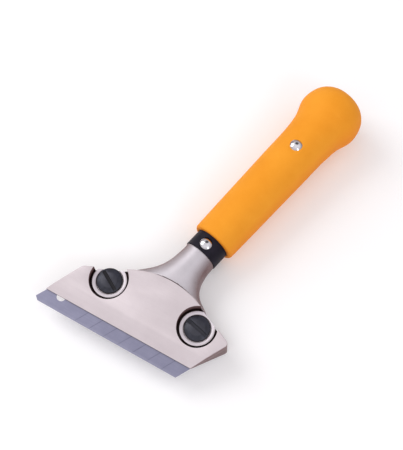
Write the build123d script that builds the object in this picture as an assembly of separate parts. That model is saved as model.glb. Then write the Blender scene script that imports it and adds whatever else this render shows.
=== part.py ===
from build123d import *
import math
import os

# Floor scraper that clamps a standard 18 mm snap-off blade across a wedge-shaped cast head.
# Frame: millimetres. X runs along the blade's cutting edge, +Y back towards the handle, +Z is
# the clamp plate's side. The origin is the middle of the cutting edge, on the blade's upper face.
# The handle leans in the plane of the blade: its axis is turned SKEW degrees from +Y towards +X.

# ---- blade: a standard 18 mm snap-off blade ----
BLADE_LENGTH = 100.0
BLADE_WIDTH = 18.0
BLADE_THICKNESS = 0.5
SNAP_ANGLE = 60.0
SNAP_PITCH = 10.0
SNAP_LINES = 7
SNAP_WIDTH = 0.25
SNAP_DEPTH = 0.12
BEVEL_WIDTH = 1.4
EDGE_THICKNESS = 0.06
TANG_HOLE_RADIUS = 3.0
TANG_HOLE_AT = (-34.8, 9.0)
TANG_CHAMFER = (3.6, 2.1)

# ---- head in plan: blade-side edge, two slanted ends and two rear edges ----
FRONT_Y = 8.6
FRONT_LEFT_X = -45.4
FRONT_RIGHT_X = 55.1
REAR_LEFT = (-32.5, 30.9)
REAR_RIGHT = (68.5, 31.1)
ARC_LEFT = (-5.6, 42.4)
ARC_TOP = (19.5, 48.0)
ARC_RIGHT = (44.6, 42.2)
LEFT_CORNER_RADIUS = 4.5
RIGHT_CORNER_RADIUS = 2.4

# ---- clamp plate in side view ----
PLATE_NOSE = 1.1
PLATE_CREASE = (17.0, 3.6)
PLATE_REAR_TOP = (52.0, 7.8)
PLATE_STEP_Y = 18.5
PLATE_STEP_DEPTH = 3.0
PLATE_EDGE_RADIUS = 0.5

# ---- head casting in side view ----
HEAD_LIP_Y = 18.2
HEAD_SEAT_GAP = 0.1
HEAD_NOSE = 0.7
HEAD_HEEL_Y = 33.5
HEAD_HEEL_Z = -16.3
HEAD_REAR_Y = 52.0
HEAD_REST_SLOPE = 0.055
PLATE_CLEARANCE = 0.3

# ---- clamp screws, M8 with a coin slot ----
SCREW_MIDDLE_X = 16.4
SCREW_SPACING = 61.0
SCREW_Y = 31.2
SHANK_RADIUS = 4.0
SCREW_HEAD_RADIUS = 8.0
SCREW_RIM = 0.9
SCREW_CONE = 1.3
SCREW_TOP_RADIUS = 4.9
SLOT_WIDTH = 2.3
SLOT_DEPTH = 1.4
SLOT_LENGTH = 14.4
SLOT_ANGLES = {"left": -30.0, "right": -13.0}

# ---- pockets in the plate, each with a raised seat ring inside a moat ----
POCKET_RADIUS = 12.3
RING_RADIUS = 10.6
RING_TOP = 1.6
RING_RIM = 0.8
SEAT_RADIUS = 8.3
SEAT_Z = 0.2
DISH_FOOT = (8.5, 1.2)
MOAT_Z = -2.2
RING_ROOT = 0.2
WASHER_THICKNESS = 0.8
WASHER_RADIUS = 7.6
WASHER_HOLE_RADIUS = 4.3
PLATE_HOLE_RADIUS = 4.5

# ---- thread inserts and retaining rings under the screws ----
INSERT_RADIUS = 6.0
INSERT_BORE_RADIUS = 4.05
INSERT_TOP = -3.5
INSERT_BOTTOM = -8.3
COUNTERBORE_RADIUS = 6.8
SCREW_TAIL_Z = -11.7
RETAINER_TOP = -10.5
RETAINER_THICKNESS = 0.8
RETAINER_RADIUS = 5.7
RETAINER_GAP = 4.6
GROOVE_RADIUS = 3.3

# ---- handle: axis through (HANDLE_X, 0, HANDLE_Z), stations measured along it ----
SKEW = 12.4
HANDLE_X = 9.1
HANDLE_Z = -4.0
COLLAR_AT = 75.1
COLLAR_RADIUS = 11.0
TUBE_RADIUS = 11.4
TUBE_WALL = 2.0
TUBE_END = 206.0
SPIGOT_LENGTH = 24.0
SPIGOT_ROOT = 5.0
SPIGOT_CHAMFER = 1.0
CORE_FROM = 150.0
CORE_TO = 182.0
GRIP_START = 86.4
GRIP_END = 218.1
GRIP_FRONT_RADIUS = 14.5
GRIP_MIDDLE = (134.0, 15.5)
GRIP_WAIST = (176.0, 16.35)
KNOB_FLANK = (189.0, 17.75)
KNOB_WIDE = (201.0, 21.2)
KNOB_SHOULDER = (211.5, 19.2)
KNOB_CORNER = (217.1, 14.5)
KNOB_RIM_RADIUS = 9.2
GRIP_EDGE_RADIUS = 2.0
GRIP_START_SLOPE = (0.02, 1)
KNOB_END_SLOPE = (-1, 0.1)
NOSE_RADIUS = 8.2
PLUG_START = 194.0
PLUG_SHOULDER = 217.4
CAP_RADIUS = 8.1
CAP_THICKNESS = 3.8
CAP_TOP = 220.4
CAP_EDGE_RADIUS = 0.5
CAP_TILT = 2.5

# ---- rivets, domed heads on the plate's side ----
NECK_RIVET_AT = 80.4
GRIP_RIVET_AT = 166.1
RIVET_HEAD_RADIUS = 3.9
RIVET_DOME = 1.5
RIVET_SHANK_RADIUS = 2.2
RIVET_TAIL_RADIUS = 3.2
RIVET_TAIL = 1.0
RIVET_RECESS_RADIUS = 4.2
GRIP_SEAT_RADIUS = 16.15

# ---- neck sections from the collar to the head: station, shift to the right, half width, half
# height, turn share ----
NECK_SECTIONS = [
    (COLLAR_AT, 0.0, COLLAR_RADIUS, COLLAR_RADIUS, 0.0),
    (66.5, 0.25, 11.35, 10.9, 0.12),
    (59.5, 0.4, 13.0, 10.8, 0.4),
    (53.5, 0.3, 16.3, 10.7, 0.65),
    (49.0, 0.0, 20.8, 10.6, 0.85),
    (45.0, 0.0, 26.0, 10.6, 1.0),
    (41.0, 0.0, 31.0, 10.5, 1.0),
]

LEAN = 1.0 / math.tan(math.radians(SNAP_ANGLE))
BORE_RADIUS = TUBE_RADIUS - TUBE_WALL
FAR = 200.0
TINY = 0.01
SIDES = {
    "left": SCREW_MIDDLE_X - SCREW_SPACING / 2,
    "right": SCREW_MIDDLE_X + SCREW_SPACING / 2,
}
HANDLE_PLACE = Location((HANDLE_X, 0, HANDLE_Z), (0, 0, -SKEW))


def prism_of(face, low, high):
    """A plan face, extruded from one height to another."""
    return Pos(0, 0, low) * extrude(face, high - low, dir=(0, 0, 1))


def prism(points, low, high):
    """A polygon in plan, extruded from one height to another."""
    return prism_of(make_face(Polyline(*points, close=True)), low, high)


def disc(x, y, radius, low, high):
    """An upright cylinder between two heights."""
    return Pos(x, y, (low + high) / 2) * Cylinder(radius, high - low)


def side_slab(points):
    """A polygon of (y, z) points, extruded across the whole head along X."""
    face = make_face(Polyline(*[(0, y, z) for y, z in points], close=True))
    return extrude(face, FAR, dir=(1, 0, 0), both=True)


def turned(points):
    """A solid of revolution about Y from (radius, station) points."""
    face = make_face(Polyline(*points, close=True))
    return revolve(face, Axis.Y)


def head_outline(grow=0.0):
    """The head seen from above, up to the arc where the neck begins."""
    front = Line((FRONT_LEFT_X, FRONT_Y), (FRONT_RIGHT_X, FRONT_Y))
    right_end = Line((FRONT_RIGHT_X, FRONT_Y), REAR_RIGHT)
    right_rear = Line(REAR_RIGHT, ARC_RIGHT)
    arc = ThreePointArc(ARC_RIGHT, ARC_TOP, ARC_LEFT)
    left_rear = Line(ARC_LEFT, REAR_LEFT)
    left_end = Line(REAR_LEFT, (FRONT_LEFT_X, FRONT_Y))
    face = make_face(front + right_end + right_rear + arc + left_rear + left_end)
    for corner, radius in ((REAR_LEFT, LEFT_CORNER_RADIUS), (REAR_RIGHT, RIGHT_CORNER_RADIUS)):
        vertex = face.vertices().sort_by_distance((*corner, 0))[0]
        face = fillet(vertex, radius)
    if grow:
        face = offset(face, grow)
    return face


def blade():
    corner = (-BLADE_LENGTH / 2, 0)
    back_shift = BLADE_WIDTH * LEAN
    along, up = TANG_CHAMFER
    outline = [
        (corner[0] + along, 0),
        (BLADE_LENGTH / 2, 0),
        (BLADE_LENGTH / 2 + back_shift, BLADE_WIDTH),
        (corner[0] + back_shift, BLADE_WIDTH),
        (corner[0] + up * LEAN, up),
    ]
    body = prism(outline, -BLADE_THICKNESS, 0)
    body -= disc(*TANG_HOLE_AT, TANG_HOLE_RADIUS, -FAR, FAR)
    drop = (BLADE_THICKNESS - EDGE_THICKNESS) / 2
    body -= side_slab([(-1, 1), (-1, -drop), (0, -drop), (BEVEL_WIDTH, 0), (BEVEL_WIDTH, 1)])
    low = -BLADE_THICKNESS
    body -= side_slab(
        [(-1, low - 1), (-1, low + drop), (0, low + drop), (BEVEL_WIDTH, low), (BEVEL_WIDTH, low - 1)]
    )
    for index in range(SNAP_LINES):
        x = BLADE_LENGTH / 2 - SNAP_PITCH * (index + 1)
        groove = [
            (x - LEAN, -1),
            (x - LEAN + SNAP_WIDTH, -1),
            (x + back_shift + LEAN + SNAP_WIDTH, BLADE_WIDTH + 1),
            (x + back_shift + LEAN, BLADE_WIDTH + 1),
        ]
        body -= prism(groove, -SNAP_DEPTH, 1)
    return body


def clamp_plate():
    nose_slope = (PLATE_CREASE[1] - PLATE_NOSE) / (PLATE_CREASE[0] - FRONT_Y)
    profile = [
        (FRONT_Y - 1, 0),
        (FRONT_Y - 1, PLATE_NOSE - nose_slope),
        PLATE_CREASE,
        PLATE_REAR_TOP,
        (PLATE_REAR_TOP[0], -PLATE_STEP_DEPTH),
        (PLATE_STEP_Y, -PLATE_STEP_DEPTH),
        (PLATE_STEP_Y, 0),
    ]
    outline = prism_of(head_outline(), -FAR, FAR)
    body = side_slab(profile) & outline
    top = body.faces().filter_by(lambda face: face.normal_at().Z > 0.9).sort_by(SortBy.AREA)[-1]
    rim = [edge for edge in top.edges() if abs(edge.center().Y - PLATE_CREASE[0]) > TINY]
    body = fillet(rim, PLATE_EDGE_RADIUS)
    for x in SIDES.values():
        body -= disc(x, SCREW_Y, POCKET_RADIUS, MOAT_Z, FAR)
        body += seat_ring(x) & outline
        body -= disc(x, SCREW_Y, PLATE_HOLE_RADIUS, -FAR, FAR)
    return body


def seat_ring(x):
    """The raised seat ring: high at its outer rim, dished down to the washer's seat."""
    points = [
        (0, MOAT_Z - RING_ROOT),
        (RING_RADIUS, MOAT_Z - RING_ROOT),
        (RING_RADIUS, RING_TOP),
        (RING_RADIUS - RING_RIM, RING_TOP),
        DISH_FOOT,
        (SEAT_RADIUS, SEAT_Z),
        (0, SEAT_Z),
    ]
    return Pos(x, SCREW_Y, 0) * Rot(90, 0, 0) * turned(points)


def neck():
    """Smoothly flared neck; its sections turn from the handle's square to the blade's."""
    sections = Sketch()
    for station, shift, half_width, half_height, share in NECK_SECTIONS:
        centre = (HANDLE_PLACE * Pos(shift, station, 0)).position
        turn = -SKEW * (1 - share)
        across = Vector(1, 0, 0).rotate(Axis.Z, turn)
        along = Vector(0, 1, 0).rotate(Axis.Z, turn)
        sections += Plane(centre, x_dir=across, z_dir=along) * Ellipse(half_width, half_height)
    return loft(sections.faces())


def spigot():
    """The stub behind the collar that the tube slides onto, chamfered at its end."""
    start = COLLAR_AT - SPIGOT_ROOT
    end = COLLAR_AT + SPIGOT_LENGTH
    points = [
        (0, start),
        (BORE_RADIUS, start),
        (BORE_RADIUS, end - SPIGOT_CHAMFER),
        (BORE_RADIUS - SPIGOT_CHAMFER, end),
        (0, end),
    ]
    return HANDLE_PLACE * turned(points)


def head_casting():
    """Wedge, neck and spigot; its underside lies flat on the floor while the knob touches too."""
    rear_bottom = HEAD_HEEL_Z - HEAD_REST_SLOPE * (HEAD_REAR_Y - HEAD_HEEL_Y)
    nose_bottom = -BLADE_THICKNESS - HEAD_NOSE
    seat = -PLATE_STEP_DEPTH - HEAD_SEAT_GAP
    profile = [
        (FRONT_Y, nose_bottom),
        (FRONT_Y, -BLADE_THICKNESS),
        (HEAD_LIP_Y, -BLADE_THICKNESS),
        (HEAD_LIP_Y, seat),
        (HEAD_REAR_Y, seat),
        (HEAD_REAR_Y, rear_bottom),
        (HEAD_HEEL_Y, HEAD_HEEL_Z),
    ]
    wedge = side_slab(profile) & prism_of(head_outline(), -FAR, FAR)
    plate_room = prism_of(head_outline(PLATE_CLEARANCE), seat, FAR)
    body = wedge + (neck() - plate_room) + spigot()
    for x in SIDES.values():
        body -= disc(x, SCREW_Y, INSERT_RADIUS, INSERT_BOTTOM, 0)
        body -= disc(x, SCREW_Y, COUNTERBORE_RADIUS, -FAR, INSERT_BOTTOM)
    return body - rivet_hole(NECK_RIVET_AT)


def clamp_screw(side):
    x = SIDES[side]
    bearing = SEAT_Z + WASHER_THICKNESS
    rim = bearing + SCREW_RIM
    top = rim + SCREW_CONE
    body = disc(x, SCREW_Y, SCREW_HEAD_RADIUS, bearing, rim)
    cone = Cone(SCREW_HEAD_RADIUS, SCREW_TOP_RADIUS, SCREW_CONE)
    body += Pos(x, SCREW_Y, (rim + top) / 2) * cone
    body += disc(x, SCREW_Y, SHANK_RADIUS, SCREW_TAIL_Z, bearing)
    groove = disc(x, SCREW_Y, SHANK_RADIUS + 1, RETAINER_TOP - RETAINER_THICKNESS, RETAINER_TOP)
    groove -= disc(x, SCREW_Y, GROOVE_RADIUS, -FAR, FAR)
    body -= groove
    slot = Rot(0, 0, SLOT_ANGLES[side]) * Box(SLOT_LENGTH, SLOT_WIDTH, SLOT_DEPTH * 2)
    body -= Pos(x, SCREW_Y, top) * slot
    return body


def screw_washer(side):
    x = SIDES[side]
    body = disc(x, SCREW_Y, WASHER_RADIUS, SEAT_Z, SEAT_Z + WASHER_THICKNESS)
    return body - disc(x, SCREW_Y, WASHER_HOLE_RADIUS, -FAR, FAR)


def thread_insert(side):
    x = SIDES[side]
    body = disc(x, SCREW_Y, INSERT_RADIUS, INSERT_BOTTOM, INSERT_TOP)
    return body - disc(x, SCREW_Y, INSERT_BORE_RADIUS, -FAR, FAR)


def retaining_ring(side):
    """Snap ring in the screw's tail groove, open on one side."""
    x = SIDES[side]
    low = RETAINER_TOP - RETAINER_THICKNESS
    body = disc(x, SCREW_Y, RETAINER_RADIUS, low, RETAINER_TOP)
    body -= disc(x, SCREW_Y, GROOVE_RADIUS, -FAR, FAR)
    gap = Pos(x, SCREW_Y + RETAINER_RADIUS, 0) * Box(RETAINER_GAP, 2 * RETAINER_RADIUS, FAR)
    return body - gap


def rivet_hole(station):
    return HANDLE_PLACE * Pos(0, station, 0) * Cylinder(RIVET_SHANK_RADIUS, FAR)


def chord_height(radius, half_chord):
    """Height above the axis at which a flat of this half width meets a round of this radius."""
    return math.sqrt(radius**2 - half_chord**2)


def dome(foot_radius, rise):
    """A shallow spherical cap that stands on z = 0."""
    sphere_radius = (foot_radius**2 + rise**2) / (2 * rise)
    ball = Pos(0, 0, rise - sphere_radius) * Sphere(sphere_radius)
    return ball & disc(0, 0, foot_radius, 0, rise)


def rivet(station, round_radius):
    """Domed rivet through the handle, seated on flats in a round of the given radius."""
    head_seat = chord_height(round_radius, RIVET_RECESS_RADIUS)
    tail_seat = chord_height(round_radius, RIVET_TAIL_RADIUS)
    head = Pos(0, 0, head_seat) * dome(RIVET_HEAD_RADIUS, RIVET_DOME)
    tail = Pos(0, 0, -tail_seat) * Rot(180, 0, 0) * dome(RIVET_TAIL_RADIUS, RIVET_TAIL)
    shank = disc(0, 0, RIVET_SHANK_RADIUS, -tail_seat, head_seat)
    return HANDLE_PLACE * Pos(0, station, 0) * (head + shank + tail)


def rivet_flats(station, round_radius):
    """Flat spots for a rivet's head and tail, cut down to where the flat meets the round."""
    cuts = disc(0, 0, RIVET_RECESS_RADIUS, chord_height(round_radius, RIVET_RECESS_RADIUS), FAR)
    cuts += disc(0, 0, RIVET_TAIL_RADIUS, -FAR, -chord_height(round_radius, RIVET_TAIL_RADIUS))
    return HANDLE_PLACE * Pos(0, station, 0) * cuts


def handle_tube():
    points = [
        (BORE_RADIUS, COLLAR_AT),
        (TUBE_RADIUS, COLLAR_AT),
        (TUBE_RADIUS, TUBE_END),
        (BORE_RADIUS, TUBE_END),
    ]
    body = HANDLE_PLACE * turned(points)
    body -= rivet_hole(NECK_RIVET_AT)
    body -= rivet_hole(GRIP_RIVET_AT)
    return body - rivet_flats(NECK_RIVET_AT, TUBE_RADIUS)


def tube_core():
    points = [(0, CORE_FROM), (BORE_RADIUS, CORE_FROM), (BORE_RADIUS, CORE_TO), (0, CORE_TO)]
    return HANDLE_PLACE * turned(points) - rivet_hole(GRIP_RIVET_AT)


def end_plug():
    """Plug in the tube's end; its cap sits a little askew in the knob's mouth."""
    stem = turned([
        (0, PLUG_START),
        (BORE_RADIUS, PLUG_START),
        (BORE_RADIUS, TUBE_END),
        (NOSE_RADIUS, TUBE_END),
        (NOSE_RADIUS, PLUG_SHOULDER),
        (0, PLUG_SHOULDER),
    ])
    cap = Cylinder(CAP_RADIUS, CAP_THICKNESS)
    cap = fillet(cap.edges().sort_by(Axis.Z)[-1], CAP_EDGE_RADIUS)
    cap_place = Location((0, CAP_TOP - CAP_THICKNESS / 2, 0), (0, 0, -CAP_TILT))
    return HANDLE_PLACE * (stem + cap_place * Rot(-90, 0, 0) * cap)


def grip_sleeve():
    """Elastomer sleeve that swells slowly from its front edge and ends in a round knob."""
    corner = (GRIP_FRONT_RADIUS - GRIP_EDGE_RADIUS, GRIP_START)
    shoulder = (GRIP_FRONT_RADIUS, GRIP_START + GRIP_EDGE_RADIUS)
    mouth = (KNOB_RIM_RADIUS, GRIP_END)
    stations = [GRIP_MIDDLE, GRIP_WAIST, KNOB_FLANK, KNOB_WIDE, KNOB_SHOULDER, KNOB_CORNER]
    swell = [(radius, station) for station, radius in stations]
    profile = Line((TUBE_RADIUS, GRIP_START), corner)
    profile += RadiusArc(corner, shoulder, -GRIP_EDGE_RADIUS)
    profile += Spline(shoulder, *swell, mouth, tangents=[GRIP_START_SLOPE, KNOB_END_SLOPE])
    profile += Polyline(
        mouth,
        (NOSE_RADIUS, GRIP_END),
        (NOSE_RADIUS, TUBE_END),
        (TUBE_RADIUS, TUBE_END),
        (TUBE_RADIUS, GRIP_START),
    )
    body = HANDLE_PLACE * revolve(make_face(profile), Axis.Y)
    body -= rivet_hole(GRIP_RIVET_AT)
    return body - rivet_flats(GRIP_RIVET_AT, GRIP_SEAT_RADIUS)


parts = {
    "head_casting": head_casting(),
    "clamp_plate": clamp_plate(),
    "blade": blade(),
    "handle_tube": handle_tube(),
    "tube_core": tube_core(),
    "end_plug": end_plug(),
    "grip_sleeve": grip_sleeve(),
    "neck_rivet": rivet(NECK_RIVET_AT, TUBE_RADIUS),
    "grip_rivet": rivet(GRIP_RIVET_AT, GRIP_SEAT_RADIUS),
}
for side in SIDES:
    parts["clamp_screw_" + side] = clamp_screw(side)
    parts["screw_washer_" + side] = screw_washer(side)
    parts["thread_insert_" + side] = thread_insert(side)
    parts["retaining_ring_" + side] = retaining_ring(side)

os.makedirs("parts", exist_ok=True)
for name, solid in parts.items():
    solid.label = name
    export_step(solid, "parts/" + name + ".step")
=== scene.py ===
import math

import bmesh
import bpy
import numpy as np
from mathutils import Matrix, Vector


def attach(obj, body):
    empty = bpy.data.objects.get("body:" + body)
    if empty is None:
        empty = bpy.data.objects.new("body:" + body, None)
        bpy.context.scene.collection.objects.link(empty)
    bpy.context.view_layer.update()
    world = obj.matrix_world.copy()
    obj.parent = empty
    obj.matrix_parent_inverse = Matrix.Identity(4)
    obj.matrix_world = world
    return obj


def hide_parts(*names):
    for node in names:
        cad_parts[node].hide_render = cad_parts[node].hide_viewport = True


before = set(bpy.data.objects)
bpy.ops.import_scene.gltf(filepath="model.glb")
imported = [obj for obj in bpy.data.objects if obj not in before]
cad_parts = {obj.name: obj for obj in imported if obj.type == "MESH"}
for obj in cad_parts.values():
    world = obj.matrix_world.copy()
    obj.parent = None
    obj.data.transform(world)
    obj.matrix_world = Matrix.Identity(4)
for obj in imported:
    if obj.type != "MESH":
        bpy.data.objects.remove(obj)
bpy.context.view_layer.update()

# Floor scraper: the looks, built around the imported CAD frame. Lengths are in metres, in the frame's
# own axes: X along the cutting edge, +Y back towards the handle, +Z the clamp plate's side.

MM = 0.001

# ---- camera: the photograph's viewing angle and distance ----
CAMERA_AT = Vector((120.5, -67.24, 467.26)) * MM
CAMERA_RIGHT = Vector((0.87074, 0.49093, -0.02829))
CAMERA_UP = Vector((-0.44637, 0.81323, 0.37337))
CAMERA_BACK = Vector((0.20630, -0.31248, 0.92725))
LENS = 72.36
SENSOR = 36.0

# ---- handle: its axis leans SKEW from +Y towards +X; stations are measured along it from y = 0 ----
SKEW = math.radians(12.4)
HANDLE_FOOT = Vector((9.1, 0.0, -4.0)) * MM
ACROSS = Vector((math.cos(SKEW), -math.sin(SKEW), 0.0))
ALONG = Vector((math.sin(SKEW), math.cos(SKEW), 0.0))
UP = Vector((0.0, 0.0, 1.0))
TUBE_RADIUS = 11.4 * MM
TUBE_END = 206.0 * MM
GRIP_RIVET_AT = 166.1 * MM
GRIP_SEAT_RADIUS = 16.15 * MM
RIVET_RECESS = 4.2 * MM

# ---- grip outline: station and radius, from its front edge to the mouth at the knob's end ----
GRIP_START = 86.4 * MM
GRIP_EDGE = 2.0 * MM
GRIP_OUTLINE = [
    (88.4, 14.5), (110.0, 15.0), (134.0, 15.5), (155.0, 15.95), (176.0, 16.35),
    (189.0, 17.75), (201.0, 21.2), (211.5, 19.2), (217.1, 14.5), (217.85, 12.0), (218.1, 9.2),
]
KNOB_LEAN = 0.46 * MM
KNOB_LEAN_FROM = 180.0 * MM
KNOB_LEAN_OVER = 20.0 * MM
PLUG_RADIUS = 8.2 * MM
PLUG_CLEARANCE = 0.2 * MM
MOUTH_DEPTH = 0.5 * MM
GRIP_SEGMENTS = 160
GRIP_LONGEST_SPAN = 1.3 * MM

# ---- screws ----
SCREW_X = {"left": -14.1 * MM, "right": 46.9 * MM}
SCREW_Y = 31.2 * MM
SCREW_BEVEL = 0.2 * MM
# how dark the painted shade on each screw's slot floor is
SLOT_SHADE = {"left": 0.9, "right": 0.3}

# ---- the plate's pockets: a moat between the seat ring and the pocket wall ----
RING_RADIUS = 10.6 * MM
POCKET_RADIUS = 12.3 * MM
PLATE_BEVEL = 0.22 * MM

# ---- casting: the grain of its skin, and how many rounds soften its edges ----
CAST_VOXEL = 0.4 * MM
CAST_ROUNDS = 4

# ---- blade ----
SNAP_ANGLE = math.radians(60)
SNAP_PITCH = 10.0 * MM
SNAP_FIRST = 5.125 * MM
SNAP_FROM = -23.0 * MM
SNAP_TO = 43.0 * MM

# ---- floor: it touches the casting's heel and the underside of the knob ----
FLOOR_GLOW = 0.1
FLOOR_HALF_SIZE = 3.0
FLOOR_GAP = 0.3 * MM
HEEL = Vector((0.0, 33.5, -16.3)) * MM
KNOB_LOW = Vector((0.0, 197.0, -25.3)) * MM

# ---- studio: the sky's colours, and a dark panel in it, which polished metal mirrors ----
SKY_HORIZON = (0.30, 0.24, 0.23, 1.0)
SKY_TOP = (1.0, 0.98, 1.0, 1.0)
SKY_TOP_FROM = 0.8
DARK_PANEL = Vector((-0.12, 0.62, 0.78))
DARK_PANEL_REACH = math.radians(22)
DARK_PANEL_SOLID_SHARE = 0.7
DARK_PANEL_LEVEL = 0.12


def linked(name, data):
    piece = bpy.data.objects.new(name, data)
    bpy.context.scene.collection.objects.link(piece)
    return piece


def make_camera():
    data = bpy.data.cameras.new("camera")
    data.sensor_fit = "HORIZONTAL"
    data.sensor_width = SENSOR
    data.lens = LENS
    data.clip_start = 0.01
    camera = linked("camera", data)
    turn = Matrix((CAMERA_RIGHT, CAMERA_UP, CAMERA_BACK)).transposed()
    camera.matrix_world = Matrix.Translation(CAMERA_AT) @ turn.to_4x4()
    bpy.context.scene.camera = camera


# ---------------------------------------------------------------- mesh helpers


def mesh_piece(name, points, faces):
    mesh = bpy.data.meshes.new(name)
    mesh.from_pydata([tuple(point) for point in points], [], faces)
    mesh.update()
    piece = linked(name, mesh)
    tidy_normals(piece)
    return piece


def tidy_normals(piece):
    """Merges doubled points, turns every face outwards and shades it smooth."""
    work = bmesh.new()
    work.from_mesh(piece.data)
    bmesh.ops.remove_doubles(work, verts=work.verts, dist=1e-7)
    bmesh.ops.recalc_face_normals(work, faces=work.faces)
    for face in work.faces:
        face.smooth = True
    work.to_mesh(piece.data)
    work.free()


def apply_modifiers(piece):
    """Puts the evaluated mesh, with its modifiers, in the piece's own mesh."""
    depsgraph = bpy.context.evaluated_depsgraph_get()
    depsgraph.update()
    result = bpy.data.meshes.new_from_object(piece.evaluated_get(depsgraph))
    piece.modifiers.clear()
    piece.data = result
    return piece


def cad_copy(name, node):
    """A new piece that starts from a CAD node's shape, for mesh work."""
    mesh = bpy.data.meshes.new(name)
    work = bmesh.new()
    work.from_mesh(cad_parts[node].data)
    bmesh.ops.remove_doubles(work, verts=work.verts, dist=1e-6)
    work.to_mesh(mesh)
    work.free()
    mesh.materials.clear()
    return linked(name, mesh)


def bevelled(piece, width, segments=3, angle=28.0):
    """Small rounded edges wherever two faces meet at more than the angle."""
    work = bmesh.new()
    work.from_mesh(piece.data)
    bmesh.ops.dissolve_limit(work, angle_limit=math.radians(0.5), verts=work.verts, edges=work.edges)
    for face in work.faces:
        face.smooth = True
    work.to_mesh(piece.data)
    work.free()
    bevel = piece.modifiers.new("edges", "BEVEL")
    bevel.width = width
    bevel.segments = segments
    bevel.limit_method = "ANGLE"
    bevel.angle_limit = math.radians(angle)
    bevel.harden_normals = True
    bevel.use_clamp_overlap = True
    return apply_modifiers(piece)


def cast_soft(piece, voxel, rounds):
    """A casting's softened edges: one closed skin, relaxed a little everywhere."""
    remesh = piece.modifiers.new("skin", "REMESH")
    remesh.mode = "VOXEL"
    remesh.voxel_size = voxel
    remesh.use_smooth_shade = True
    smooth = piece.modifiers.new("relax", "SMOOTH")
    smooth.factor = 0.5
    smooth.iterations = rounds
    return apply_modifiers(piece)


def smooth_curve(points, steps):
    """Centripetal Catmull-Rom curve through 2-D points, as an array."""
    given = np.array(points, float)
    padded = np.vstack([2 * given[0] - given[1], given, 2 * given[-1] - given[-2]])
    out = []
    for index in range(1, len(padded) - 2):
        p0, p1, p2, p3 = padded[index - 1 : index + 3]
        t0 = 0.0
        t1 = t0 + np.linalg.norm(p1 - p0) ** 0.5
        t2 = t1 + np.linalg.norm(p2 - p1) ** 0.5
        t3 = t2 + np.linalg.norm(p3 - p2) ** 0.5
        for t in np.linspace(t1, t2, steps, endpoint=False):
            a1 = (t1 - t) / (t1 - t0) * p0 + (t - t0) / (t1 - t0) * p1
            a2 = (t2 - t) / (t2 - t1) * p1 + (t - t1) / (t2 - t1) * p2
            a3 = (t3 - t) / (t3 - t2) * p2 + (t - t2) / (t3 - t2) * p3
            b1 = (t2 - t) / (t2 - t0) * a1 + (t - t0) / (t2 - t0) * a2
            b2 = (t3 - t) / (t3 - t1) * a2 + (t - t1) / (t3 - t1) * a3
            out.append((t2 - t) / (t2 - t1) * b1 + (t - t1) / (t2 - t1) * b2)
    out.append(given[-1])
    return np.array(out)


def arc_points(centre, radius, start, end, steps):
    """Points on an arc in a (station, radius) profile, angles in degrees."""
    angles = np.radians(np.linspace(start, end, steps))
    return [(centre[0] + radius * math.cos(a), centre[1] + radius * math.sin(a)) for a in angles]


def handle_point(station, across, up):
    return HANDLE_FOOT + ALONG * station + ACROSS * across + UP * up


def revolve(name, profile, segments, place):
    """A ring for each (station, radius) of the closed profile, joined all the way round.

    place(station, across, up) gives the point in the frame.
    """
    points = []
    rings = len(profile)
    for station, radius in profile:
        for index in range(segments):
            turn = 2 * math.pi * index / segments
            points.append(place(station, radius * math.cos(turn), radius * math.sin(turn)))
    faces = []
    for ring in range(rings):
        after = (ring + 1) % rings
        for index in range(segments):
            beside = (index + 1) % segments
            faces.append((
                ring * segments + index, ring * segments + beside,
                after * segments + beside, after * segments + index,
            ))
    return mesh_piece(name, points, faces)


def smoothstep(value):
    value = min(1.0, max(0.0, value))
    return value * value * (3 - 2 * value)


def mark_edges(piece, reach):
    """Stores how convex (+) or concave (-) the surface is at each point, for wear on edges and painted
    shade in concave spots.
    """
    work = bmesh.new()
    work.from_mesh(piece.data)
    work.normal_update()
    bend = np.zeros(len(work.verts))
    for vertex in work.verts:
        total = 0.0
        for edge in vertex.link_edges:
            step = edge.other_vert(vertex).co - vertex.co
            length = step.length
            if length > 0:
                total -= step.dot(vertex.normal) / length
        bend[vertex.index] = total / max(1, len(vertex.link_edges))
    for _ in range(reach):
        spread = bend.copy()
        for vertex in work.verts:
            near = [edge.other_vert(vertex).index for edge in vertex.link_edges]
            if near:
                spread[vertex.index] = 0.5 * bend[vertex.index] + 0.5 * float(np.mean(bend[near]))
        bend = spread
    work.free()
    attribute = piece.data.attributes.new("edge_mask", "FLOAT", "POINT")
    attribute.data.foreach_set("value", bend.astype(np.float32))
    return piece


# ---------------------------------------------------------------- material helpers


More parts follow.
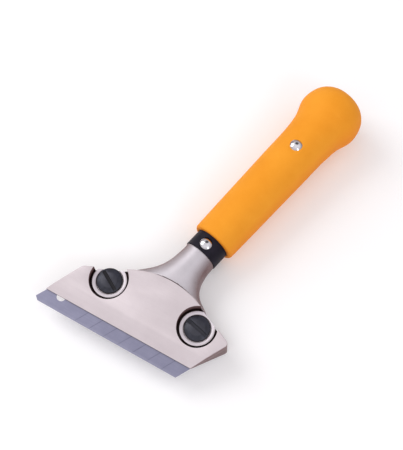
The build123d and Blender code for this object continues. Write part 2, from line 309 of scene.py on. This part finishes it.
class Recipe:
    """A small builder for procedural materials in the object's own coordinates."""

    def __init__(self, name):
        self.material = bpy.data.materials.new(name)
        self.material.use_nodes = True
        self.tree = self.material.node_tree
        self.shader = self.tree.nodes["Principled BSDF"]
        self.place = self.node("ShaderNodeTexCoord").outputs["Object"]

    def node(self, kind, **values):
        made = self.tree.nodes.new(kind)
        for key, value in values.items():
            setattr(made, key, value)
        return made

    def link(self, source, target):
        self.tree.links.new(source, target)

    def stretched(self, scale):
        mapping = self.node("ShaderNodeMapping")
        mapping.inputs["Scale"].default_value = scale
        self.link(self.place, mapping.inputs["Vector"])
        return mapping.outputs["Vector"]

    def noise(self, scale, detail=4.0, roughness=0.55, place=None):
        made = self.node("ShaderNodeTexNoise")
        made.inputs["Scale"].default_value = scale
        made.inputs["Detail"].default_value = detail
        made.inputs["Roughness"].default_value = roughness
        self.link(place or self.place, made.inputs["Vector"])
        return made.outputs["Fac"]

    def ranged(self, source, low, high, start=0.0, end=1.0):
        made = self.node("ShaderNodeMapRange")
        made.inputs["From Min"].default_value = start
        made.inputs["From Max"].default_value = end
        made.inputs["To Min"].default_value = low
        made.inputs["To Max"].default_value = high
        self.link(source, made.inputs["Value"])
        return made.outputs["Result"]

    def math(self, operation, first, second=None):
        made = self.node("ShaderNodeMath", operation=operation)
        for index, value in enumerate((first, second)):
            if value is None:
                continue
            if isinstance(value, (int, float)):
                made.inputs[index].default_value = value
            else:
                self.link(value, made.inputs[index])
        return made.outputs["Value"]

    def ramp(self, source, stops):
        made = self.node("ShaderNodeValToRGB")
        elements = made.color_ramp.elements
        while len(elements) < len(stops):
            elements.new(0.5)
        for element, (position, colour) in zip(elements, stops):
            element.position = position
            element.color = (*colour, 1.0)
        self.link(source, made.inputs["Fac"])
        return made.outputs["Color"]

    def mix(self, share, first, second):
        made = self.node("ShaderNodeMix", data_type="RGBA")
        self.link(share, made.inputs["Factor"])
        sockets = [socket for socket in made.inputs if socket.type == "RGBA"]
        for socket, value in zip(sockets, (first, second)):
            if isinstance(value, tuple):
                socket.default_value = (*value, 1.0)
            else:
                self.link(value, socket)
        return [socket for socket in made.outputs if socket.type == "RGBA"][0]

    def axes(self):
        parts = self.node("ShaderNodeSeparateXYZ")
        self.link(self.place, parts.inputs["Vector"])
        return parts.outputs["X"], parts.outputs["Y"], parts.outputs["Z"]

    def length(self, dx, dy):
        squares = [self.math("MULTIPLY", part, part) for part in (dx, dy)]
        return self.math("SQRT", self.math("ADD", *squares))

    def screw_distance(self):
        """Distance in plan from the nearer of the two screws' axes."""
        x, y, _ = self.axes()
        middle = (SCREW_X["left"] + SCREW_X["right"]) / 2
        spacing = SCREW_X["right"] - SCREW_X["left"]
        from_middle = self.math("ABSOLUTE", self.math("SUBTRACT", x, middle))
        dx = self.math("SUBTRACT", from_middle, spacing / 2)
        return self.length(dx, self.math("SUBTRACT", y, SCREW_Y))

    def band(self, source, start, end, soft):
        """1 between start and end, fading to 0 over the soft width outside them."""
        rise = self.ranged(source, 0.0, 1.0, start - soft, start)
        fall = self.ranged(source, 1.0, 0.0, end, end + soft)
        return self.math("MULTIPLY", rise, fall)

    def leaning(self, low, high):
        """How far a surface leans away from +Z: 0 where it lies flat, 1 where it stands upright."""
        parts = self.node("ShaderNodeSeparateXYZ")
        self.link(self.node("ShaderNodeTexCoord").outputs["Normal"], parts.inputs["Vector"])
        return self.ranged(self.math("ABSOLUTE", parts.outputs["Z"]), 1.0, 0.0, low, high)

    def edges(self):
        return self.node("ShaderNodeAttribute", attribute_name="edge_mask").outputs["Fac"]

    def bump(self, height, strength, distance, before=None):
        made = self.node("ShaderNodeBump")
        made.inputs["Strength"].default_value = strength
        made.inputs["Distance"].default_value = distance
        self.link(height, made.inputs["Height"])
        if before is not None:
            self.link(before, made.inputs["Normal"])
        return made.outputs["Normal"]

    def finish(self, colour, roughness, normal=None, **sockets):
        self.link(colour, self.shader.inputs["Base Color"])
        self.link(roughness, self.shader.inputs["Roughness"])
        if normal is not None:
            self.link(normal, self.shader.inputs["Normal"])
        for key, value in sockets.items():
            self.shader.inputs[key.replace("_", " ")].default_value = value
        return self.material


def cast_metal():
    """Satin pinkish-grey casting: bead-blasted grain, painted brown shade on its steep flanks and painted
    shade in its concave spots.
    """
    r = Recipe("cast_metal")
    cloud = r.noise(90.0, 5.0)
    grain = r.noise(2600.0, 3.0, 0.6)
    colour = r.ramp(cloud, [(0.3, (0.53, 0.50, 0.535)), (0.7, (0.60, 0.565, 0.60))])
    # painted shade: steep flanks darkened towards brown, as if they faced a dim surround
    steep_shade = r.math("MULTIPLY", r.leaning(0.50, 0.97), r.ranged(r.noise(60.0), 0.8, 1.0, 0.35, 0.6))
    colour = r.mix(steep_shade, colour, (0.17, 0.095, 0.092))
    # painted shade: concave spots darkened, where shade falls
    hollow_shade = r.ranged(r.edges(), 0.75, 0.0, -0.30, -0.03)
    colour = r.mix(hollow_shade, colour, (0.16, 0.10, 0.10))
    worn = r.ranged(r.edges(), 0.0, 0.6, 0.06, 0.30)
    colour = r.mix(worn, colour, (0.72, 0.66, 0.68))
    speck = r.ranged(grain, 0.0, 0.25, 0.55, 0.8)
    colour = r.mix(speck, colour, (0.75, 0.71, 0.74))
    roughness = r.ranged(r.noise(300.0), 0.40, 0.52)
    normal = r.bump(grain, 0.25, 0.00006)
    normal = r.bump(cloud, 0.15, 0.0004, normal)
    return r.finish(colour, roughness, normal, Metallic=0.5, Specular_IOR_Level=0.4)


def plate_metal():
    """Satin plate, faintly brushed along the cutting edge, with painted shade on its steep sides and in
    its moats, and a painted shadow line along its nose.
    """
    r = Recipe("plate_metal")
    _, y, z = r.axes()
    cloud = r.noise(60.0, 5.0)
    brushed = r.noise(700.0, 4.0, 0.6, r.stretched((0.06, 1.0, 1.0)))
    grain = r.noise(3000.0, 3.0, 0.6)
    colour = r.ramp(cloud, [(0.3, (0.605, 0.54, 0.56)), (0.7, (0.665, 0.60, 0.62))])
    streak = r.ranged(brushed, 0.0, 0.16, 0.45, 0.75)
    colour = r.mix(streak, colour, (0.55, 0.49, 0.51))
    speck = r.ranged(grain, 0.0, 0.3, 0.55, 0.8)
    colour = r.mix(speck, colour, (0.80, 0.75, 0.77))
    # painted shade: steep sides darkened towards brown, as if they faced a dim surround
    steep_shade = r.leaning(0.2, 0.7)
    colour = r.mix(steep_shade, colour, (0.19, 0.11, 0.11))
    reach = r.screw_distance()
    seat = r.band(reach, 8.6 * MM, 10.4 * MM, 0.1 * MM)
    colour = r.mix(seat, colour, (0.70, 0.645, 0.685))
    # painted shade: the moat round each seat ring darkened to near black, fading up its wall
    moat = r.band(reach, RING_RADIUS, POCKET_RADIUS, 0.12 * MM)
    moat = r.math("MULTIPLY", moat, r.ranged(z, 1.0, 0.0, 0.2 * MM, 2.4 * MM))
    colour = r.mix(moat, colour, (0.030, 0.012, 0.012))
    # painted shadow: a dark line along the nose's lower edge, where the plate meets the blade
    nose_shadow = r.ranged(z, 0.85, 0.0, 0.15 * MM, 0.75 * MM)
    nose_shadow = r.math("MULTIPLY", nose_shadow, r.ranged(y, 1.0, 0.0, 9.2 * MM, 9.6 * MM))
    colour = r.mix(nose_shadow, colour, (0.05, 0.025, 0.025))
    worn = r.ranged(r.edges(), 0.0, 0.5, 0.08, 0.35)
    colour = r.mix(worn, colour, (0.84, 0.79, 0.81))
    roughness = r.ranged(brushed, 0.42, 0.56)
    normal = r.bump(grain, 0.2, 0.00004)
    normal = r.bump(brushed, 0.12, 0.00006, normal)
    return r.finish(colour, roughness, normal, Metallic=0.35, Specular_IOR_Level=0.3)


def blade_steel():
    """Ground blue-grey carbon steel: grinding lines, oily clouds, and a brighter honed edge."""
    r = Recipe("blade_steel")
    x, y, _ = r.axes()
    ground = r.noise(1500.0, 3.0, 0.6, r.stretched((0.03, 1.0, 1.0)))
    cloud = r.noise(110.0, 4.0)
    colour = r.ramp(cloud, [(0.3, (0.235, 0.235, 0.33)), (0.7, (0.275, 0.275, 0.38))])
    streak = r.ranged(ground, 0.0, 0.3, 0.4, 0.8)
    colour = r.mix(streak, colour, (0.19, 0.19, 0.28))
    skewed = r.math("SUBTRACT", x, r.math("MULTIPLY", y, 1 / math.tan(SNAP_ANGLE)))
    phase = r.math("FRACT", r.math("DIVIDE", r.math("SUBTRACT", skewed, SNAP_FIRST), SNAP_PITCH))
    near = r.math("MULTIPLY", r.math("ABSOLUTE", r.math("SUBTRACT", phase, 0.5)), SNAP_PITCH)
    line = r.ranged(near, 0.55, 0.0, 0.08 * MM, 0.22 * MM)
    line = r.math("MULTIPLY", line, r.band(skewed, SNAP_FROM, SNAP_TO, 1.0 * MM))
    colour = r.mix(line, colour, (0.09, 0.09, 0.15))
    honed = r.ranged(y, 0.12, 0.0, 1.2 * MM, 1.45 * MM)
    colour = r.mix(honed, colour, (0.42, 0.42, 0.52))
    roughness = r.ranged(ground, 0.38, 0.54)
    normal = r.bump(ground, 0.15, 0.00003)
    return r.finish(colour, roughness, normal, Metallic=0.45, Specular_IOR_Level=0.3)


def black_steel(side):
    """Black oxide steel with the faint rings of its turning, and painted shade in the coin slot."""
    r = Recipe("black_steel_" + side)
    x, y, z = r.axes()
    radius = r.length(r.math("SUBTRACT", x, SCREW_X[side]), r.math("SUBTRACT", y, SCREW_Y))
    rings = r.math("SINE", r.math("MULTIPLY", radius, 9000.0))
    cloud = r.noise(260.0, 4.0)
    colour = r.ramp(cloud, [(0.3, (0.018, 0.019, 0.027)), (0.7, (0.042, 0.044, 0.062))])
    crown = r.ranged(radius, 0.6, 0.0, 4.7 * MM, 4.95 * MM)
    colour = r.mix(crown, colour, (0.052, 0.052, 0.066))
    rim = r.ranged(radius, 0.0, 0.9, 7.55 * MM, 7.85 * MM)
    colour = r.mix(rim, colour, (0.006, 0.004, 0.006))
    # painted shade: the slot floor darkened, more in the left screw than the right
    within = r.ranged(radius, 1.0, 0.0, 7.1 * MM, 7.3 * MM)
    deep = r.ranged(z, 1.0, 0.0, 1.9 * MM, 2.1 * MM)
    slot = r.math("MULTIPLY", r.math("MULTIPLY", within, deep), SLOT_SHADE[side])
    colour = r.mix(slot, colour, (0.004, 0.003, 0.005))
    worn = r.ranged(r.edges(), 0.0, 0.5, 0.12, 0.45)
    colour = r.mix(worn, colour, (0.10, 0.10, 0.13))
    roughness = r.ranged(cloud, 0.30, 0.44)
    normal = r.bump(rings, 0.22, 0.00004)
    normal = r.bump(r.noise(2400.0), 0.12, 0.00004, normal)
    return r.finish(colour, roughness, normal, Metallic=0.3, Specular_IOR_Level=0.35)


def black_tube():
    """Black powder coat with a soft orange-peel."""
    r = Recipe("black_tube")
    cloud = r.noise(150.0, 4.0)
    peel = r.noise(1400.0, 2.0)
    colour = r.ramp(cloud, [(0.3, (0.008, 0.007, 0.013)), (0.7, (0.016, 0.013, 0.023))])
    roughness = r.ranged(cloud, 0.42, 0.56)
    normal = r.bump(peel, 0.2, 0.00008)
    return r.finish(colour, roughness, normal, Specular_IOR_Level=0.13)


def chrome():
    """Polished rivet metal with faint handling marks, and painted shade on the dome's steep flanks."""
    r = Recipe("chrome")
    cloud = r.noise(400.0, 3.0)
    marks = r.noise(1500.0, 2.0, 0.5, r.stretched((1.0, 0.15, 1.0)))
    colour = r.ramp(cloud, [(0.3, (0.60, 0.59, 0.62)), (0.7, (0.74, 0.73, 0.76))])
    # painted shade: the dome's steep flanks darkened, standing in for a dark reflection
    steep_shade = r.leaning(0.55, 0.92)
    colour = r.mix(steep_shade, colour, (0.34, 0.31, 0.35))
    roughness = r.ranged(marks, 0.06, 0.16, 0.35, 0.75)
    normal = r.bump(marks, 0.05, 0.00003)
    return r.finish(colour, roughness, normal, Metallic=1.0)


def orange_rubber():
    """Matte orange elastomer with a fine moulded grain, painted shade on its flanks and in its concave
    spots.
    """
    r = Recipe("orange_rubber")
    cloud = r.noise(45.0, 5.0)
    grain = r.noise(2200.0, 3.0, 0.6)
    colour = r.ramp(cloud, [(0.3, (0.87, 0.315, 0.016)), (0.7, (0.93, 0.365, 0.026))])
    # painted shade: flanks of the sleeve darkened towards a deeper orange
    flank_shade = r.leaning(0.0, 0.6)
    colour = r.mix(flank_shade, colour, (0.87, 0.27, 0.014))
    # painted shade: concave spots darkened, where shade falls
    hollow_shade = r.ranged(r.edges(), 0.6, 0.0, -0.25, -0.03)
    colour = r.mix(hollow_shade, colour, (0.45, 0.12, 0.01))
    scuff = r.ranged(r.noise(420.0, 6.0, 0.7), 0.0, 0.10, 0.55, 0.8)
    colour = r.mix(scuff, colour, (0.98, 0.46, 0.08))
    roughness = r.ranged(cloud, 0.62, 0.76)
    normal = r.bump(grain, 0.3, 0.00007)
    normal = r.bump(r.noise(140.0, 3.0), 0.12, 0.0005, normal)
    return r.finish(colour, roughness, normal, Specular_IOR_Level=0.18)


def plain_part(name, low, high, metallic, rough):
    """Small hidden parts: clouded colour, uneven polish and a light grain."""
    r = Recipe(name)
    cloud = r.noise(220.0, 4.0)
    colour = r.ramp(cloud, [(0.3, low), (0.7, high)])
    roughness = r.ranged(cloud, rough[0], rough[1])
    normal = r.bump(r.noise(2000.0), 0.15, 0.00005)
    return r.finish(colour, roughness, normal, Metallic=metallic)


# ---------------------------------------------------------------- pieces


def grip_profile():
    """Closed (station, radius) outline of the sleeve: front edge, outside, mouth and bore."""
    start = GRIP_START
    edge = GRIP_EDGE
    outline = smooth_curve([(s * MM, q * MM) for s, q in GRIP_OUTLINE], 16)
    front_radius = outline[0][1]
    rounding = arc_points((start + edge, front_radius - edge), edge, 180, 90, 9)
    mouth_at = GRIP_OUTLINE[-1][0] * MM - MOUTH_DEPTH
    mouth_radius = PLUG_RADIUS + PLUG_CLEARANCE
    mouth = [(mouth_at, mouth_radius), (TUBE_END, mouth_radius)]
    inner = [(TUBE_END, TUBE_RADIUS), (start, TUBE_RADIUS)]
    face = [(start, TUBE_RADIUS + (front_radius - edge - TUBE_RADIUS) * 0.5)]
    return face + rounding[:-1] + [tuple(p) for p in outline] + mouth + inner


def grip():
    """The elastomer sleeve, its knob a little off its axis, pressed in round the rivet."""
    seat = math.sqrt(GRIP_SEAT_RADIUS**2 - RIVET_RECESS**2)

    def place(station, across, up):
        lean = KNOB_LEAN * smoothstep((station - KNOB_LEAN_FROM) / KNOB_LEAN_OVER)
        far = math.hypot(station - GRIP_RIVET_AT, across)
        if up > 0 and far < 3 * RIVET_RECESS and up > seat:
            press = smoothstep((far - RIVET_RECESS) / (0.45 * RIVET_RECESS))
            up = seat + (up - seat) * press
        return handle_point(station, across - lean, up)

    profile = refined(grip_profile(), GRIP_LONGEST_SPAN)
    piece = revolve("grip_sleeve_skin", profile, GRIP_SEGMENTS, place)
    mark_edges(piece, 2)
    return piece


def refined(profile, longest):
    """The same closed profile with no span longer than the given length."""
    out = []
    for index, start in enumerate(profile):
        end = profile[(index + 1) % len(profile)]
        span = math.hypot(end[0] - start[0], end[1] - start[1])
        pieces = max(1, math.ceil(span / longest))
        for step in range(pieces):
            share = step / pieces
            station = start[0] + (end[0] - start[0]) * share
            radius = start[1] + (end[1] - start[1]) * share
            out.append((station, radius))
    return out


def build_grip():
    piece = grip()
    piece.data.materials.append(orange_rubber())
    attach(piece, "head")
    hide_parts("grip_sleeve")


def build_casting():
    piece = cast_soft(cad_copy("head_casting_skin", "head_casting"), CAST_VOXEL, CAST_ROUNDS)
    mark_edges(piece, 1)
    piece.data.materials.append(cast_metal())
    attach(piece, "head")
    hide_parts("head_casting")


def build_plate():
    piece = bevelled(cad_copy("clamp_plate_skin", "clamp_plate"), PLATE_BEVEL)
    mark_edges(piece, 0)
    piece.data.materials.append(plate_metal())
    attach(piece, "plate")
    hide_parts("clamp_plate")


def build_screw(side):
    piece = bevelled(cad_copy(f"clamp_screw_{side}_skin", "clamp_screw_" + side), SCREW_BEVEL)
    mark_edges(piece, 0)
    piece.data.materials.append(black_steel(side))
    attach(piece, side + "_screw")
    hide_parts("clamp_screw_" + side)


def keep_node(node, material):
    """A CAD node that stays as it is, with its own procedural material."""
    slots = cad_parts[node].data.materials
    slots.clear()
    slots.append(material)


# ---------------------------------------------------------------- stage and light


def make_floor():
    """A pale floor, tilted to touch the heel and the knob, which glows a little."""
    work = bmesh.new()
    bmesh.ops.create_grid(work, x_segments=8, y_segments=8, size=FLOOR_HALF_SIZE)
    mesh = bpy.data.meshes.new("floor")
    work.to_mesh(mesh)
    work.free()
    floor = linked("floor", mesh)
    tilt = math.atan2(HEEL.z - KNOB_LOW.z, KNOB_LOW.y - HEEL.y)
    lift = Matrix.Translation(HEEL - UP * FLOOR_GAP)
    floor.matrix_world = lift @ Matrix.Rotation(-tilt, 4, "X")
    r = Recipe("floor")
    cloud = r.noise(3.0, 2.0)
    colour = r.ramp(cloud, [(0.3, (0.90, 0.90, 0.90)), (0.7, (0.93, 0.93, 0.93))])
    roughness = r.ranged(cloud, 0.85, 0.95)
    material = r.finish(colour, roughness, Emission_Strength=FLOOR_GLOW)
    r.shader.inputs["Emission Color"].default_value = (1.0, 1.0, 1.0, 1.0)
    mesh.materials.append(material)


def make_sky():
    """Bright overhead, dim and warm towards the horizon, with a dark panel high at the back."""
    world = bpy.data.worlds.new("studio")
    bpy.context.scene.world = world
    world.use_nodes = True
    tree = world.node_tree
    background = tree.nodes["Background"]
    place = tree.nodes.new("ShaderNodeTexCoord")
    parts = tree.nodes.new("ShaderNodeSeparateXYZ")
    ramp = tree.nodes.new("ShaderNodeValToRGB")
    tree.links.new(place.outputs["Generated"], parts.inputs["Vector"])
    tree.links.new(parts.outputs["Z"], ramp.inputs["Fac"])
    elements = ramp.color_ramp.elements
    elements[0].position = 0.0
    elements[0].color = SKY_HORIZON
    elements[1].position = SKY_TOP_FROM
    elements[1].color = SKY_TOP
    facing = tree.nodes.new("ShaderNodeVectorMath")
    facing.operation = "DOT_PRODUCT"
    facing.inputs[1].default_value = DARK_PANEL.normalized()
    tree.links.new(place.outputs["Generated"], facing.inputs[0])
    dim = tree.nodes.new("ShaderNodeMapRange")
    dim.inputs["From Min"].default_value = math.cos(DARK_PANEL_REACH)
    dim.inputs["From Max"].default_value = math.cos(DARK_PANEL_SOLID_SHARE * DARK_PANEL_REACH)
    dim.inputs["To Min"].default_value = 1.0
    dim.inputs["To Max"].default_value = DARK_PANEL_LEVEL
    tree.links.new(facing.outputs["Value"], dim.inputs["Value"])
    shade = tree.nodes.new("ShaderNodeVectorMath")
    shade.operation = "SCALE"
    tree.links.new(ramp.outputs["Color"], shade.inputs[0])
    tree.links.new(dim.outputs["Result"], shade.inputs["Scale"])
    tree.links.new(shade.outputs["Vector"], background.inputs["Color"])
    background.inputs["Strength"].default_value = 1.0


def make_light(name, at, aim, size, power, colour=(1.0, 1.0, 1.0)):
    data = bpy.data.lights.new(name, "AREA")
    data.shape = "RECTANGLE"
    data.size = size[0]
    data.size_y = size[1]
    data.energy = power
    data.color = colour
    light = linked(name, data)
    turn = (Vector(aim) - Vector(at)).to_track_quat("-Z", "Y")
    light.matrix_world = Matrix.Translation(at) @ turn.to_matrix().to_4x4()


make_camera()
build_grip()
build_casting()
build_plate()
for side in ("left", "right"):
    build_screw(side)
zinc = plain_part("zinc_steel", (0.50, 0.50, 0.52), (0.66, 0.66, 0.68), 0.9, (0.3, 0.45))
spring = plain_part("spring_steel", (0.12, 0.12, 0.13), (0.2, 0.2, 0.22), 0.8, (0.35, 0.5))
core_plastic = plain_part("core_plastic", (0.5, 0.48, 0.42), (0.62, 0.6, 0.54), 0.0, (0.5, 0.65))
plug_plastic = plain_part("plug_plastic", (0.015, 0.014, 0.016), (0.035, 0.033, 0.036), 0.0, (0.45, 0.6))
keep_node("blade", blade_steel())
keep_node("handle_tube", black_tube())
keep_node("tube_core", core_plastic)
keep_node("end_plug", plug_plastic)
for node in ("neck_rivet", "grip_rivet"):
    keep_node(node, chrome())
for side in ("left", "right"):
    keep_node("screw_washer_" + side, zinc)
    keep_node("thread_insert_" + side, zinc)
    keep_node("retaining_ring_" + side, spring)

make_floor()
make_sky()
make_light("key", at=(-0.85, 0.15, 0.75), aim=(0.03, 0.1, 0.0), size=(0.7, 0.7), power=5.0)
make_light(
    "fill", at=(0.75, -0.25, 0.75), aim=(0.03, 0.08, 0.0), size=(0.3, 0.3), power=1.3,
    colour=(0.85, 0.9, 1.0),
)
bpy.context.scene.view_settings.view_transform = "Standard"
